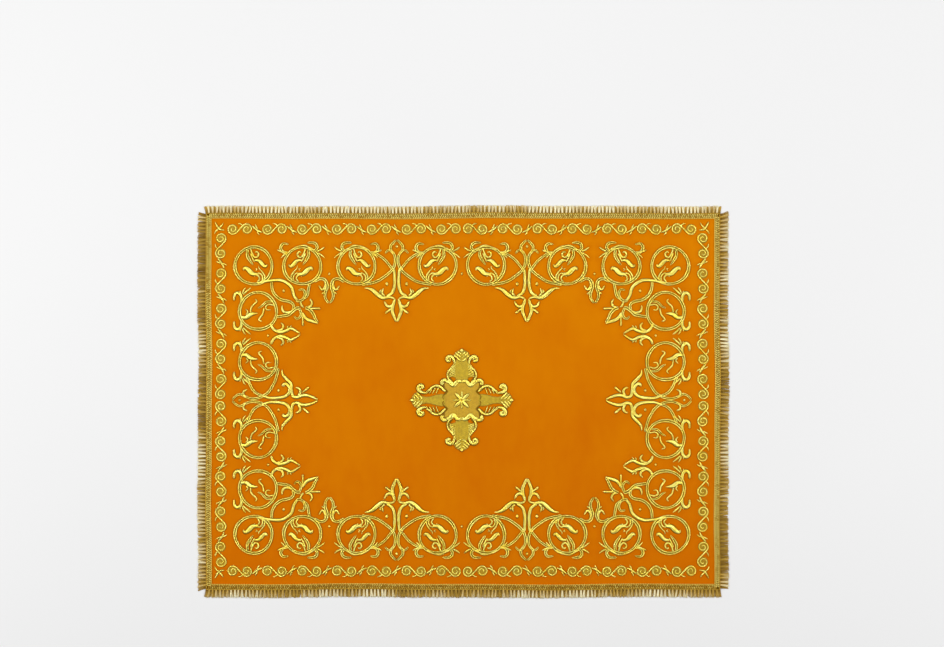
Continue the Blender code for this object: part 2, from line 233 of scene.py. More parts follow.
# Small mesh helpers
def finishPiece(name, bm, finish, smooth=True):
    bmesh.ops.remove_doubles(bm, verts=bm.verts, dist=2e-6)
    bmesh.ops.recalc_face_normals(bm, faces=bm.faces)
    for face in bm.faces:
        face.smooth = smooth
    mesh = bpy.data.meshes.new(name)
    bm.to_mesh(mesh)
    bm.free()
    mesh.materials.append(finish)
    piece = bpy.data.objects.new(name, mesh)
    scene.collection.objects.link(piece)
    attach(piece, "root")
    return piece


# Places along a smooth curve through the given points, evenly spaced by about step
def smoothLine(points, step):
    knots = [Vector(p) for p in points]
    knots = [2 * knots[0] - knots[1]] + knots + [2 * knots[-1] - knots[-2]]
    fine = []
    for before, a, b, after in zip(knots, knots[1:], knots[2:], knots[3:]):
        for k in range(12):
            t = k / 12
            bend = (2 * before - 5 * a + 4 * b - after) * t * t + (3 * a - before - 3 * b + after) * t**3
            fine.append(a + 0.5 * ((b - before) * t + bend))
    fine.append(knots[-2])
    return evenly(fine, step)


def evenly(fine, step):
    runs = [0.0]
    for a, b in zip(fine, fine[1:]):
        runs.append(runs[-1] + (b - a).length)
    count = max(4, round(runs[-1] / step))
    path = []
    at = 0
    for k in range(count + 1):
        goal = runs[-1] * k / count
        while at < len(runs) - 2 and runs[at + 1] < goal:
            at += 1
        share = (goal - runs[at]) / max(runs[at + 1] - runs[at], 1e-9)
        path.append(fine[at].lerp(fine[at + 1], share))
    return path


# Width at t along a stitched line: its start, its middle and its end
def lineWidth(widths, t):
    start, middle, end = widths
    if t < 0.5:
        return start + (middle - start) * math.sin(math.pi * t)
    return end + (middle - end) * math.sin(math.pi * t)


stitch = {
    "step": 1.3,
    "spread": 1.24,  # the threads stand out on both sides of the drawn line
    "dome": 0.5,  # height of the padding, as a share of the line's width
    "mostHeight": 1.6,
    "sunk": 0.25,  # how deep the line's foot sits in the pile
    "threadRise": 0.015,
    # one half of each section, from its foot inwards: one row of satin, two rows that meet in a furrow for
    # the stems and rings, and a thin low cord that outlines a field; the lower part of a section, and the
    # cord all over, is dark with painted shade
    "full": ((1, 0), (0.86, 0.34), (0.62, 0.84), (0.26, 1)),
    "split": ((1, 0), (0.9, 0.6), (0.7, 0.98), (0.32, 0.95), (0.1, 0.3)),
    "low": ((1, 0), (0.6, 0.5)),
    "splitWidths": (2.55, 3.9),  # lines this wide and this long are split
    "splitLength": 22.0,
    "endRound": 1.3,
}
clothTop = 1.6


# A grid of that many rows, to be wrapped round a line, and the values kept for its vertices
def wrapRows(bm, count, around, names):
    kept = bm.verts.layers.float
    layers = [kept.get(name) or kept.new(name) for name in names]
    made = bmesh.ops.create_grid(bm, x_segments=around, y_segments=count - 1, size=1.0)["verts"]
    ordered = sorted(made, key=lambda v: (round(v.co.y, 5), v.co.x))
    return [ordered[k * (around + 1):(k + 1) * (around + 1)] for k in range(count)], layers


# A padded line of satin stitch, closed underneath
def stitchLine(bm, path, halves, kind="full", lift=0.0):
    profile = stitch[kind]
    section = [(-side, rise) for side, rise in profile] + list(profile[::-1])
    around = len(section)
    rows, layers = wrapRows(bm, len(path), around, ("along", "across", "depth"))
    alongLayer, acrossLayer, shadeDepthLayer = layers
    foot = clothTop + lift - stitch["sunk"]
    run = 0.0
    last = len(path) - 1
    for k, place in enumerate(path):
        heading = (path[min(k + 1, last)] - path[max(k - 1, 0)]).normalized()
        across = Vector((-heading.y, heading.x))
        half = halves[k]
        height = min(2 * half * stitch["dome"], stitch["mostHeight"])
        height *= 1 + stitch["threadRise"] * (1 if k % 2 else -1)
        run += (place - path[k - 1]).length if k else 0.0
        for j, v in enumerate(rows[k]):
            side, rise = section[j % around]
            spot = place + embroideryShift + across * (side * half)
            v.co = (spot.x * mm, spot.y * mm, (foot + rise * (height + stitch["sunk"])) * mm)
            v[alongLayer] = run
            v[acrossLayer] = side * half
            # the depth sets the painted shade of the gold
            v[shadeDepthLayer] = 1 - rise


def openLine(bm, points, widths, kind=None, **more):
    path = smoothLine(points, stitch["step"])
    total = sum((b - a).length for a, b in zip(path, path[1:]))
    halves = []
    for k in range(len(path)):
        t = k / (len(path) - 1)
        toEnd = min(t, 1 - t) * total
        ease = math.sqrt(min(1.0, max(toEnd, 0.0) / stitch["endRound"]))
        halves.append(max(lineWidth(widths, t) / 2 * stitch["spread"] * ease, 0.0005))
    low, high = stitch["splitWidths"]
    kind = kind or ("split" if low <= widths[1] <= high and total > stitch["splitLength"] else "full")
    stitchLine(bm, path, halves, kind, **more)


def dot(bm, x, y, radius):
    openLine(bm, [(x - radius, y), (x, y), (x + radius, y)], (radius * 2, radius * 2.5, radius * 2))


# The scroll: rings in one quarter of the cloth, and which way the leaves inside them face
ringPlan = {
    "radius": 23.7,
    "wide": 4.5,
    "overlap": 0.14,  # how far a ring's end runs over its start, in radians
    "row": ((31.0, 172.0, -1), (134.6, 172.0, 1), (204.0, 172.0, -1), (266.3, 172.0, 1)),
    "side": ((260.6, 49.5, 1), (260.6, 113.9, -1)),
}
# Each line: its points, then its width at the start, in the middle and at the end
rowFill = (
    (((-13.4, -20), (-14.2, -13.6), (-10.6, -7.4), (-7, -3.6), (-6.4, 0)), (2.0, 1.9, 1.0)),
    (((-10.8, -20), (-11.6, -15.2), (-9.6, -11), (-5, -8.8)), (2.0, 1.9, 1.6)),
    (((-4.4, -21), (-7.6, -17), (-5.8, -12.8), (0.4, -11.2)), (1.8, 2.2, 2.2)),
    (((-7, -10.6), (1.2, -10.4), (7.2, -4.8), (11.4, -3), (13.2, -6.4)), (2.2, 6.0, 2.2)),
    (((-2.4, -12), (-0.6, -14.6)), (1.6, 1.4, 0.9)),
    (((-2.6, -6.6), (-4.4, -4.4), (-2, -3.4)), (1.6, 1.6, 1.0)),
    (((7.2, 21), (8.2, 13.6), (4.8, 6.8), (0.2, 0.4)), (2.6, 3.6, 1.0)),
    (((4.4, 16.4), (1.8, 10.4), (-1.4, 4.2)), (2.0, 2.2, 1.2)),
    (((-0.6, 6.8), (-6.6, 6.4), (-11.4, 1.6), (-14.8, -1.2), (-17.8, 1.8)), (2.2, 5.0, 2.2)),
    (((4, 22), (2, 15.6), (-1.2, 11), (-4.8, 11.2), (-6.4, 14.6), (-4.2, 17.8), (-1.4, 16.4)),
     (2.0, 2.5, 2.2)),
)
sideFill = (
    (((7.4, 22.4), (8.4, 15.6), (4, 9), (2.8, 0)), (3.0, 5.4, 1.0)),
    (((4.8, 15.6), (1, 13), (-2.8, 16.2)), (1.8, 2.0, 1.2)),
    (((2.4, 10), (-5.4, 8.2), (-12, 1.8), (-15.8, 4)), (2.0, 2.2, 1.6)),
    (((-12.4, -20), (-11.8, -11), (-6.4, -5), (-3.6, 0.6)), (2.0, 2.8, 1.2)),
    (((-7.2, -21), (-8.6, -14), (-5.6, -9.8), (-1.6, -11.4), (-1.6, -16.2)), (2.0, 2.2, 1.4)),
    (((-4, -7.6), (4.2, -5.8), (10.8, -1), (13.4, -5.2)), (2.0, 2.4, 1.8)),
)
rowFeet = (
    (((-17, 16.4), (-24.6, 17.4), (-27.6, 23), (-24.4, 28), (-17.2, 27.2)), (2.4, 3.6, 1.6)),
    (((-19, 16.6), (-27, 18), (-32.4, 20.4)), (1.8, 2.6, 1.2)),
    (((13.6, 18.2), (18.6, 21.8), (17.6, 27.2), (13, 29.4), (6, 29.2)), (2.4, 3.6, 1.6)),
    (((18.6, 18), (24, 20.6), (28.6, 24)), (1.8, 2.4, 1.4)),
    (((18, 17.2), (23.4, 14.2), (29, 9.6)), (1.8, 2.0, 1.1)),
    (((-18.4, 16.8), (-23.4, 13.6), (-27.4, 9.4)), (1.6, 2.0, 1.0)),
    (((-15, 19.4), (-6, 24), (4, 25.6), (13.6, 19.4)), (1.6, 2.2, 2.4)),
)
# One half of the feet of a side's ring
sideFeet = (
    (((10.6, 21.6), (19.2, 21.6), (23.4, 25.8), (20.2, 30.2), (12.8, 30.6)), (2.4, 4.2, 2.2)),
    (((20.8, 19.4), (26, 14), (30, 9)), (1.6, 2.4, 1.0)),
    (((21.6, 20.2), (26.4, 18.6), (30.4, 15.6)), (1.4, 2.1, 1.0)),
    (((22, 22.4), (26.4, 23)), (1.4, 1.9, 1.0)),
)
# One half of the rows' large leaf: sideways from its axis, then distance from the middle of the cloth
rowLeafAxis = 83.3
rowLeaf = (
    (((0.4, 99.8), (3.2, 106.8), (5.6, 113.8), (4.6, 121.4), (2, 130)), (2.2, 3.8, 2.2)),
    (((3.4, 168), (2.8, 158), (2.8, 147), (5.6, 137.6), (13, 132.4)), (2.8, 3.4, 3.2)),
    (((2.4, 129.6), (8, 131.6), (13, 131.2)), (2.4, 2.6, 3.0)),
    (((9, 132.4), (17.6, 130.8), (24, 134.6), (30.6, 140.4), (36, 142.8), (41.6, 143.4)), (3.0, 4.6, 1.0)),
    (((2.4, 129.6), (3.6, 123.4), (8, 119.6), (13, 121), (16.2, 127)), (2.0, 3.4, 1.4)),
    (((6.4, 117.6), (15, 110.8)), (1.8, 2.4, 2.8)),
    (((15, 133), (18.6, 137), (17, 143.6)), (2.2, 2.2, 1.2)),
    (((20.4, 136.4), (21.4, 139), (19.6, 141.6)), (1.8, 1.8, 1.0)),
    (((3.4, 165), (8.6, 171.6), (15.8, 180), (25.4, 186.6), (34, 189.4)), (2.6, 2.6, 2.2)),
    (((45, 147.6), (27.2, 151.2), (15, 158.4), (5.8, 166.6), (2.2, 175), (2.4, 184), (6.2, 190.4),
      (11, 191.6), (15, 187.4)), (3.0, 3.0, 1.8)),
    (((3.2, 186), (7.4, 191.6), (7.6, 197), (4.6, 201), (0.4, 205.2)), (2.0, 2.8, 1.8)),
)
smallLeafAxis = 169.6
smallLeaf = (
    (((0.6, 123.8), (4.8, 130.6), (5, 137.4), (2.5, 145.4), (5.2, 153.4), (11.8, 155.2), (19.4, 151.2)),
     (2.0, 3.2, 2.8)),
    (((6, 153.4), (4.8, 146.6), (8.8, 141), (13.4, 146.8)), (1.8, 2.6, 1.4)),
    (((5.6, 138.6), (9.8, 135.6)), (1.6, 1.8, 1.8)),
)
# One half of the sides' large leaf: distance from the middle of the cloth, then sideways from its axis
sideLeaf = (
    (((184, 0.4), (190.6, 3.8), (198.6, 6.2), (205, 5.8), (211, 3.6), (216.4, 5.8), (217.8, 15)),
     (1.8, 3.8, 2.6)),
    (((217.6, 13), (218.6, 21), (225.2, 28), (229.4, 33.4), (229.8, 39.6)), (2.8, 3.6, 1.0)),
    (((203.8, 9.8), (195.2, 17)), (1.8, 2.4, 2.8)),
    (((210, 4.6), (206.6, 10.2), (208.4, 15), (213, 16.2)), (2.0, 3.0, 1.4)),
    (((256, 6), (246, 2.8), (235.4, 2.8), (225.6, 5), (220.6, 10.4), (220.8, 16.8), (226, 21), (229.8, 17.4)),
     (2.4, 3.6, 3.4)),
    (((252, 4.6), (262.2, 8.6), (269, 16), (275, 30)), (2.4, 2.8, 2.8)),
    (((234.4, 41), (238, 26.6), (243, 16.6), (248, 9.6), (254.1, 5.2), (261, 2.6), (269, 2), (277, 4.6),
      (283, 7.6), (288.6, 5.6), (293.8, 0.4)), (2.8, 2.8, 2.0)),
    (((275.6, 3), (279, 7.2), (278.8, 11.4), (274.2, 13.8)), (1.8, 2.4, 1.4)),
)
smallSideAxis = 84.4
smallSideLeaf = (
    (((244.2, 13.5), (241.2, 6.8), (233.6, 2.6), (225.6, 4), (219, 7.2), (213.4, 5), (206.4, 0.3)),
     (2.6, 3.6, 1.4)),
    (((238, 4), (230.6, 6), (228.4, 11), (231.8, 15)), (1.8, 2.6, 1.4)),
    (((223.4, 7.2), (222, 11.2)), (1.6, 1.8, 1.4)),
    (((220.6, 8), (217.6, 11.4)), (1.4, 1.6, 1.2)),
)
# The leaf that points from the corner to the middle, in the cloth's own x and y
cornerLeaf = (
    (((183.4, 98), (191, 100.8), (197.8, 103.4), (202, 108), (203.6, 112.4)), (1.8, 3.8, 2.0)),
    (((183.6, 98.8), (187.4, 104.4), (190.4, 111), (194.8, 116), (200.6, 118.6)), (1.8, 3.2, 3.4)),
    (((203.6, 110), (203.3, 94.4)), (1.4, 2.0, 2.4)),
    (((194, 117.4), (180.6, 117.1)), (1.8, 2.4, 2.8)),
    (((208, 118), (205.6, 111), (207.2, 105.8), (211.2, 104.2), (214.8, 107.8)), (2.4, 2.6, 1.4)),
    (((198.4, 118.4), (193.4, 120.2), (191.7, 125), (194.4, 129.8)), (2.6, 2.6, 1.4)),
    (((237, 106.4), (229, 107.6), (221.4, 109.2), (216.4, 113.6), (211.4, 117.4), (206.6, 118)),
     (2.8, 3.2, 3.6)),
    (((216.2, 114.4), (215.2, 121), (219.6, 125.6), (230.8, 128.4), (238.4, 133.8), (242.6, 142),
      (243.4, 151.8)), (2.6, 3.2, 2.6)),
    (((216.4, 114.4), (221.6, 112.2), (227.6, 113), (229.8, 117), (229.8, 121.6)), (2.0, 2.8, 1.4)),
    (((262, 149.6), (254, 151), (245.5, 152.8), (232.4, 153.4), (223.6, 149.8), (217.6, 143.6),
      (214.6, 133.6), (210, 127)), (2.0, 3.6, 3.0)),
    (((212.4, 128.4), (208, 126.8), (202.6, 129.8), (200.6, 136), (203.2, 141.4), (209.4, 140.6)),
     (3.0, 2.8, 1.6)),
    (((207, 127.4), (205.2, 121.6), (202, 118.4)), (2.4, 2.2, 2.4)),
    (((203.4, 128.4), (198, 133.4), (196.2, 141), (194.6, 150)), (2.0, 2.8, 2.4)),
)
leafFullness = 1.15  # the leaves are worked this much wider than their tables say
spots = (
    # x, y, radius, in all four quarters
    (95.9, 148.6, 2.0), (70.7, 148.6, 2.0), (83.3, 196.6, 1.7), (169.6, 161.4, 1.5), (234.5, 12.4, 1.7),
    (247.8, 82.6, 1.5), (227.9, 139.8, 1.7),
)
middleSpots = (
    # on one of the cloth's middle lines: x, y, radius
    (0, 161.6, 1.5), (284.4, 0, 1.5),
)


# The lines that go with a ring of the sides
def swapped(table, x, y, facing):
    return [([(x + b, y + a * facing) for a, b in points], widths) for points, widths in table]


# The lines that go with a ring of the rows
def straight(table, x, y, facing):
    return [([(x + a * facing, y + b) for a, b in points], widths) for points, widths in table]


# Both halves of a leaf, from a table that has one
def mirrored(table, axis, sideways=False):
    both = []
    for points, widths in table:
        for hand in (1, -1):
            if sideways:
                both.append(([(d, axis + hand * u) for d, u in points], widths))
            else:
                both.append(([(axis + hand * u, d) for u, d in points], widths))
    return both


quarters = ((1, 1), (-1, 1), (1, -1), (-1, -1))
# these places also set the dent in the pile and the painted shade beside the stitches
stitchedAt = []  # places on the embroidery, for the shading of the pile beside it
embroideryShift = Vector((-1.5, 1.5))  # its middle lies a little left of the cloth's middle, and above it


def flipped(points, flipX, flipY):
    return [(x * flipX, y * flipY) for x, y in points]


# One piece of embroidery: its lines and rings, laid in all four quarters
def stitchGroup(name, finish, lines, rings=()):
    bm = bmesh.new()
    for flipX, flipY in quarters:
        for x, y, facing in rings:
            around = 2 * math.pi + ringPlan["overlap"]
            count = round(around * ringPlan["radius"] / stitch["step"])
            path = []
            wide = []
            for k in range(count + 1):
                turn = around * k / count
                reach = ringPlan["radius"] + 0.35 * math.sin(3 * turn + x)
                spot = (x + reach * math.cos(turn), y + reach * math.sin(turn))
                path.append(Vector((spot[0] * flipX, spot[1] * flipY)))
                ease = math.sqrt(min(1.0, min(k, count - k) / 2 + 0.01))
                swell = 0.97 + 0.06 * k / count + 0.12 * math.sin(3 * turn + y)
                wide.append(ringPlan["wide"] / 2 * swell * ease)
            stitchLine(bm, path, wide, "split")
            stitchedAt.extend(path[::2])
        for points, widths in lines:
            openLine(bm, flipped(points, flipX, flipY), widths)
            stitchedAt.extend(smoothLine(flipped(points, flipX, flipY), 3.0))
    print(name, len(bm.faces), "faces")
    return finishPiece(name, bm, finish)


# The rings' leaves and feet, and the leaves between the rings
def scrollLines():
    inside = []
    for x, y, facing in ringPlan["row"]:
        inside += straight(rowFill, x, y, facing)
    for x, y, facing in ringPlan["side"]:
        inside += swapped(sideFill, x, y, facing)
    feet = []
    for x, y, facing in ringPlan["row"][:-1]:
        feet += straight(rowFeet, x, y, facing)
    for x, y, _ in ringPlan["side"]:
        feet += swapped(sideFeet, x, y, 1) + swapped(sideFeet, x, y, -1)
    leaves = mirrored(rowLeaf, rowLeafAxis) + mirrored(smallLeaf, smallLeafAxis)
    leaves += mirrored(smallSideLeaf, smallSideAxis, sideways=True)
    leaves += list(sideLeaf) + list(cornerLeaf)
    leaves = [(points, [wide * leafFullness for wide in widths]) for points, widths in leaves]
    return inside, feet, leaves


# The running border of scrolls in pairs, with a sprig between the pairs
border = {
    "row": {"first": 8.0, "pair": 18.0, "pitch": 44.5, "count": 7, "line": 218.8},
    "side": {"first": 7.8, "pair": 19.0, "pitch": 45.0, "count": 5, "line": 308.3},
    "radius": 6.6,
    "eye": 1.2,
    "turns": 1.45,
    "ground": 0.3,
    "wide": (1.4, 1.9, 1.4),
}
sprig = (
    # from the far scroll's middle: along the border, then inwards
    (((6.4, 4.6), (13, 1.4), (20, -4.2)), (1.2, 3.0, 1.2)),
    (((13.2, 1.8), (12.4, 4.8), (10, 7.8)), (1.4, 1.8, 1.0)),
    (((12.4, 0.2), (14.4, -3), (16, -6.6)), (1.2, 1.8, 1.0)),
    (((-13.4, -3.6), (-10.4, -6.4), (-6.4, -7.2)), (1.0, 1.8, 1.0)),
)
cornerSprig = (
    # the arrow leaf at the corner, in the cloth's own x and y
    (((303.6, 217.4), (309.6, 218.6), (312.6, 222), (316, 228.4)), (1.6, 2.6, 1.2)),
    (((311.4, 219.4), (307, 223.4), (305, 227)), (1.4, 2.0, 1.0)),
    (((311, 219.4), (314.4, 216.4), (316.6, 212.4)), (1.4, 1.8, 1.0)),
)


# Two coils joined by their common tangent, which passes under the near one and over the far one
def scrollPair(first, spacing):
    radius, eye, turns = border["radius"], border["eye"], border["turns"]
    leave = math.asin(2 * radius / spacing)
    coil = 20
    near = []
    for k in range(coil + 1):
        turn = leave - (leave + 2 * math.pi * turns) * (1 - k / coil)
        reach = radius - (radius - eye) * max(0.0, -turn / (2 * math.pi * turns)) ** 1.1
        near.append((first + reach * math.sin(turn), -reach * math.cos(turn)))
    centre = first + spacing / 2
    link = [(near[-1][0] + (centre - near[-1][0]) * share, near[-1][1] * (1 - share)) for share in (0.5, 1)]
    far = [(2 * centre - s, -t) for s, t in reversed(near + link[:1])]
    return near + link + far


# Low padding inside the border's coils, in a duller, darker gold that stands for the shade between the coil's
# turns: painted shade
def buildCoilGround(finish):
    bm = bmesh.new()
    radius, thick = border["radius"], border["ground"] + 0.2
    height = clothTop + border["ground"] - thick / 2
    for name in ("row", "side"):
        plan = border[name]
        for k in range(2 * plan["count"]):
            s = plan["first"] + k // 2 * plan["pitch"] + k % 2 * plan["pair"]
            x, y = (s, plan["line"]) if name == "row" else (plan["line"], s)
            for flipX, flipY in quarters:
                spot = Vector((x * flipX, y * flipY)) + embroideryShift
                bmesh.ops.create_cone(
                    bm, cap_ends=True, segments=20, radius1=radius * mm, radius2=(radius - 0.6) * mm,
                    depth=thick * mm, matrix=Matrix.Translation((spot.x * mm, spot.y * mm, height * mm)),
                )
    return finishPiece("borderGround", bm, finish, smooth=False)


def borderLines():
    lines = []
    for name in ("row", "side"):
        plan = border[name]
        for k in range(plan["count"]):
            first = plan["first"] + k * plan["pitch"]
            parts = [(scrollPair(first, plan["pair"]), border["wide"])]
            last = k == plan["count"] - 1
            for points, widths in sprig[3:] if last else sprig:
                parts.append(([(first + plan["pair"] + s, t) for s, t in points], widths))
            for points, widths in parts:
                if name == "row":
                    lines.append(([(s, plan["line"] - t) for s, t in points], widths))
                else:
                    lines.append(([(plan["line"] - t, s) for s, t in points], widths))
    return lines + list(cornerSprig)


# The cross in the middle: across the arm, then along it, turned to the four arms
crossLines = (
    # points, widths, the share of the width that the side arms have, and how high above the cloth
    (((10.4, 46), (13, 41.6), (17, 37), (18.4, 31.6), (16.4, 26.4), (12.4, 22.6), (10.6, 20.2)),
     (2.0, 2.5, 2.0), 1.3, 0.3),
    (((9.2, 45.4), (9.6, 50), (12, 54.6), (15.6, 56), (18.8, 54), (18.8, 50.8), (16.4, 49.8), (14.4, 51.4)),
     (2.4, 4.2, 3.4), 1.1, 0.5),
    (((0.4, 49.4), (4.8, 53), (10.4, 58.4)), (2.4, 2.5, 2.2), 1, 0.5),
    (((0.4, 54), (4, 57), (8.8, 61.2)), (2.0, 2.2, 1.8), 1, 0.5),
    (((0.4, 58.6), (3, 60.4), (5.6, 62.8)), (1.8, 2.0, 1.7), 1, 0.5),
    (((0, 60.6), (0, 66.4)), (3.0, 4.6, 2.2), 1, 0.5),
    (((0, 23), (5, 24.4), (11, 18.8), (15.4, 22.6), (20.6, 24.6)), (4.2, 5.2, 4.6), 0, 0.35),
    (((19.4, 24.3), (24.4, 25), (26, 22), (24.3, 18.6)), (3.2, 4.1, 3.2), 1, 0.6),
    (((13.4, 52.4), (16.4, 52.8)), (3.4, 4.2, 3.4), 1, 0.0),
    (((0, 0.4), (0, 11.8)), (1.8, 2.5, 1.0), 1, 0.9),
    (((0.4, 0.4), (9.8, 9.0)), (2.0, 4.4, 1.1), 1, 0.9),
)
crossContours = (
    # the cords, dark with painted shade as they lie low: points, widths, and how high they lie on the upright
    # arms and on the side arms
    (((8.6, 46.4), (11.2, 41.2), (15, 36.4), (16.2, 31.4), (14.4, 27.2), (11.6, 24.8)),
     (1.2, 1.4, 1.2), (0.65, 0.1)),
    (((0, 22.8), (5, 24.2), (11, 18.6), (15.4, 22.4), (20.6, 23.6)), (1.7, 1.8, 1.6), (None, 0.6)),
)
# the slanting ticks inside the arms, out to the curve of the outline
crossTicks = {
    "from": 31.0,
    "to": 44.0,
    "count": 7,
    "inner": 7.8,
    "outer": 16.8,
    "narrowing": 0.032,
    "wide": (1.1, 1.4, 1.0),
    "lift": 0.6,
}
crossFills = {
    # one half of an arm's field, which leaves a small window on each side of its foot
    "arm": (
        (7.4, 21), (8.2, 28.6), (17, 30.6), (16.6, 35.4), (13.2, 40.6), (10, 45.4), (8.4, 49.4), (6.4, 53),
        (10, 58), (6.4, 62.6), (0, 65.4),
    ),
    # the side arms' fields are narrower, and stand free of the outline
    "sideArm": (
        (7.6, 21), (8, 27), (7, 33), (4.8, 40), (4.2, 46), (5.6, 51.4), (10, 58), (6.4, 62.6), (0, 65.4),
    ),
    "height": 0.75,
    "rim": (1.2, 0.12),  # how far in from the edge the field reaches its full height, and its last rise
    "rimShade": 0.8,
    "lobes": ((0, 22.4), (5, 23.8), (11, 18.2), (15.4, 22), (22.8, 22.8)),
}


def turned(points, quarter):
    turn = Matrix.Rotation(quarter * math.pi / 2, 2)
    return [tuple(turn @ Vector(p)) for p in points]


def buildCross(satin, medallionFill, armFill):
    bm = bmesh.new()
    for points, widths, sideShare, lift in crossLines:
        alone = all(abs(x) < 0.1 or abs(x - y) < 1 for x, y in points)
        for hand in (1,) if alone else (1, -1):
            for quarter in range(4):
                share = sideShare if quarter % 2 else 1
                if share:
                    line = turned(flipped(points, hand, 1), quarter)
                    openLine(bm, line, [wide * share for wide in widths], kind="full", lift=lift)
                    stitchedAt.extend(smoothLine(line, 3.0))
    for points, widths, lifts in crossContours:
        for hand in (1, -1):
            for quarter in range(4):
                lift = lifts[quarter % 2]
                if lift is not None:
                    openLine(bm, turned(flipped(points, hand, 1), quarter), widths, kind="low", lift=lift)
    run = crossTicks["to"] - crossTicks["from"]
    for k in range(crossTicks["count"]):
        past = run * k / (crossTicks["count"] - 1)
        along = crossTicks["from"] + past
        outer = crossTicks["outer"] - crossTicks["narrowing"] * past**2
        tick = [(crossTicks["inner"], along + 2.2), (outer, along - 1.4)]
        for hand in (1, -1):
            for quarter in (0, 2) if k % 2 else range(4):
                line = turned(flipped(tick, hand, 1), quarter)
                openLine(bm, line, crossTicks["wide"], lift=crossTicks["lift"])
    print("crossStitches", len(bm.faces), "faces")
    lines = finishPiece("crossStitches", bm, satin)
    pieces = [lines]
    lobes = crossFills["lobes"]
    ring = []
    for quarter in range(4):
        side = list(lobes[-2::-1]) + flipped(lobes[1:], -1, 1)
        ring += turned(side, quarter)
    pieces.append(fillPlate("crossMedallion", ring, medallionFill))
    for quarter in range(4):
        half = crossFills["sideArm" if quarter % 2 else "arm"]
        arm = list(half) + flipped(half[-2::-1], -1, 1)
        pieces.append(fillPlate(f"crossArm{quarter}", turned(arm, quarter), armFill))
    return pieces


# A low padded field inside a closed outline
def fillPlate(name, ring, finish):
    bm = bmesh.new()
    shiftX, shiftY = embroideryShift
    low = (clothTop - stitch["sunk"]) * mm
    depth = bm.verts.layers.float.new("depth")
    rim = [bm.verts.new(((x + shiftX) * mm, (y + shiftY) * mm, low)) for x, y in ring]
    field = bm.faces.new(rim)
    field.normal_update()
    if field.normal.z < 0:
        field.normal_flip()
    raised = bmesh.ops.extrude_face_region(bm, geom=[field], use_keep_orig=True)["geom"]
    top = [g for g in raised if isinstance(g, bmesh.types.BMFace)]
    up = [g for g in raised if isinstance(g, bmesh.types.BMVert)]
    bmesh.ops.translate(bm, verts=up, vec=(0, 0, (crossFills["height"] + stitch["sunk"]) * mm))
    # painted shade: the walls and the edge of the top take the dark olive, fading to none on the top
    for v in bm.verts:
        v[depth] = crossFills["rimShade"]
    inwards, upwards = crossFills["rim"]
    bmesh.ops.inset_region(bm, faces=top, thickness=inwards * mm, depth=upwards * mm)
    for v in {v for face in top for v in face.verts}:
        v[depth] = 0.0
    return finishPiece(name, bm, finish, smooth=False)


# The velvet: one thin sheet, hemmed under the braid
cloth = {
    "half": (328.2, 240.2),
    "cells": (188, 137),
    "pucker": 0.16,
    "nearStitchReach": 7.0,
    "under": 0.05,
}


# How far each edge strays outwards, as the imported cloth's edge does
def edgeWave(side, share):
    phase = {"top": 0.4, "right": 1.7, "bottom": 2.9, "left": 4.1}[side]
    swing = math.sin(5.1 * share + phase) + 0.6 * math.sin(11.7 * share + 2 * phase)
    return 0.55 * swing * (1 - abs(share) ** 6)


# A place on the plain oblong, moved with the edges' unevenness
def strayed(x, y):
    wide, deep = cloth["half"]
    shareX, shareY = x / wide, y / deep
    right, left = edgeWave("right", -shareY), edgeWave("left", shareY)
    top, bottom = edgeWave("top", shareX), edgeWave("bottom", -shareX)
    pullX = right * max(shareX, 0) ** 4 - left * max(-shareX, 0) ** 4
    pullY = top * max(shareY, 0) ** 4 - bottom * max(-shareY, 0) ** 4
    return x + pullX, y + pullY


# The stitched places, sorted into squares so that a point finds its neighbours fast
def stitchSquaresGrid():
    squares = {}
    for place in (spot + embroideryShift for spot in stitchedAt):
        key = (int(place.x // cloth["nearStitchReach"]), int(place.y // cloth["nearStitchReach"]))
        squares.setdefault(key, []).append(place)
    return squares


# 1 on the embroidery, falling to 0 a few millimetres from it; it dents the pile there and sets the painted
# shade laid beside the stitches
def puckerAndShadeAt(x, y, squares):
    reach = cloth["nearStitchReach"]
    column, row = int(x // reach), int(y // reach)
    nearest = reach
    for c in (column - 1, column, column + 1):
        for r in (row - 1, row, row + 1):
            for place in squares.get((c, r), ()):
                nearest = min(nearest, math.hypot(place.x - x, place.y - y))
    return 1 - nearest / reach


def buildVelvet(finish):
    squares = stitchSquaresGrid()
    bm = bmesh.new()
    across, down = cloth["cells"]
    bmesh.ops.create_grid(bm, x_segments=across, y_segments=down, size=1.0)
    paintedStitchShade = bm.verts.layers.float.new("paintedStitchShade")
    wide, deep = cloth["half"]
    for v in bm.verts:
        x, y = v.co.x * wide, v.co.y * deep
        near = puckerAndShadeAt(x, y, squares)
        ripple = noise.noise(Vector((x / 34, y / 34, 0.3))) + 0.5 * noise.noise(Vector((x / 13, y / 13, 4.2)))
        edge = min(wide - abs(x), deep - abs(y))
        ripple *= min(1.0, max(edge, 0) / 12)
        x, y = strayed(x, y)
        v.co = (x * mm, y * mm, (clothTop - cloth["pucker"] * (near + 0.5 * ripple)) * mm)
        # the same nearness, kept for the painted shade of the pile
        v[paintedStitchShade] = near
    rim = [e for e in bm.edges if e.is_boundary]
    skirt = bmesh.ops.extrude_edge_only(bm, edges=rim)["geom"]
    for part in skirt:
        if isinstance(part, bmesh.types.BMVert):
            part.co.z = cloth["under"] * mm
    base = [e for e in skirt if isinstance(e, bmesh.types.BMEdge) and e.is_boundary]
    bmesh.ops.edgeloop_fill(bm, edges=base)
    print("velvet", len(bm.faces), "faces")
    return finishPiece("velvetCloth", bm, finish)


